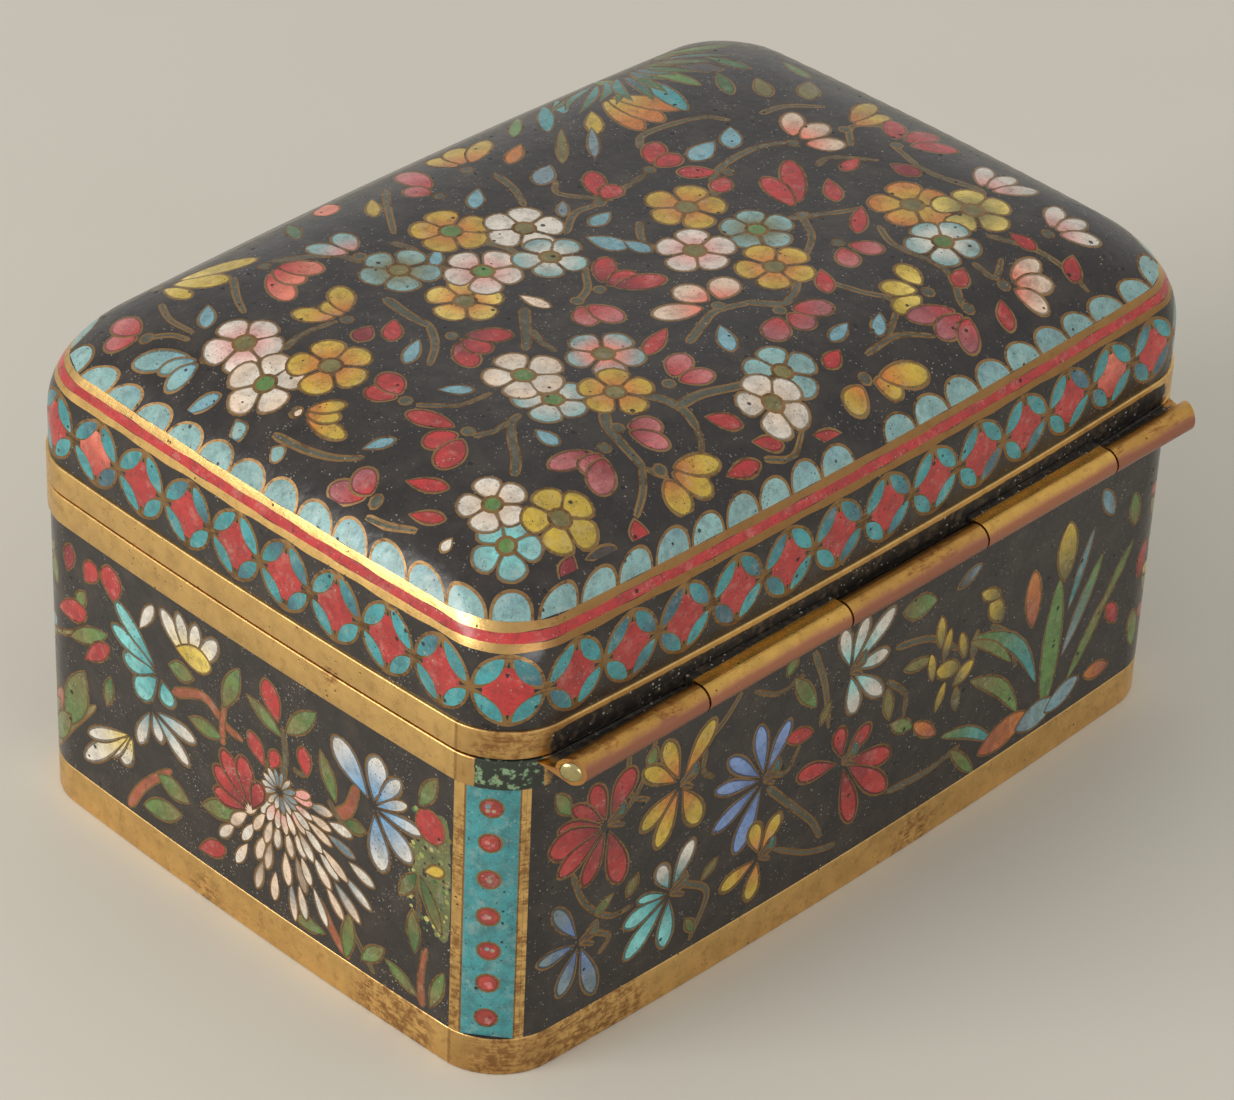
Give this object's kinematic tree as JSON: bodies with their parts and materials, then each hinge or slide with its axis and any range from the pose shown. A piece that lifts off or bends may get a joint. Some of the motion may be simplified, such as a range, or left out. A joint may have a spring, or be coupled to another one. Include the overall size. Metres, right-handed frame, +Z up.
{
  "type": "cloisonne enamel box",
  "caption": "Rectangular cloisonne enamel box with rounded corners, gilt bands and a domed lid on a long barrel hinge, for keeping small things.",
  "frame": {"origin": "centre of the flat underside, which is the plane that the box stands on", "axes": "+Z up through the lid, +X along the long sides, +Y from the opening side towards the hinge side"},
  "size_m": [0.094, 0.0692, 0.0544],
  "materials": {
    "box_enamel": "glossy black vitreous enamel with flowers in coloured enamel and gilt wire, over copper",
    "lid_enamel": "glossy black vitreous enamel with dense blossoms and gilt wire, pinholes, over copper",
    "gilt_metal": "worn gilding with brown patches and fine scratches",
    "hinge_metal": "worn gilding on top, coppery red-brown below",
    "pin_metal": "pale polished brass"
  },
  "bodies": {
    "box": {"box_shell": "box_enamel", "foot_band": "gilt_metal", "box_rim": "gilt_metal", "box_hinge_knuckle_1": "hinge_metal", "box_hinge_knuckle_3": "hinge_metal", "box_hinge_knuckle_5": "hinge_metal", "hinge_pin": "pin_metal"},
    "lid": {"lid_shell": "lid_enamel", "lid_rim": "gilt_metal", "lid_hinge_knuckle_2": "hinge_metal", "lid_hinge_knuckle_4": "hinge_metal"}
  },
  "joints": [
    {"name": "lid_hinge", "type": "hinge", "parent": "box", "child": "lid", "pos_m": [0, 0.0348, 0.03505], "axis": [-1, 0, 0], "range_deg": [0, 100]}
  ]
}
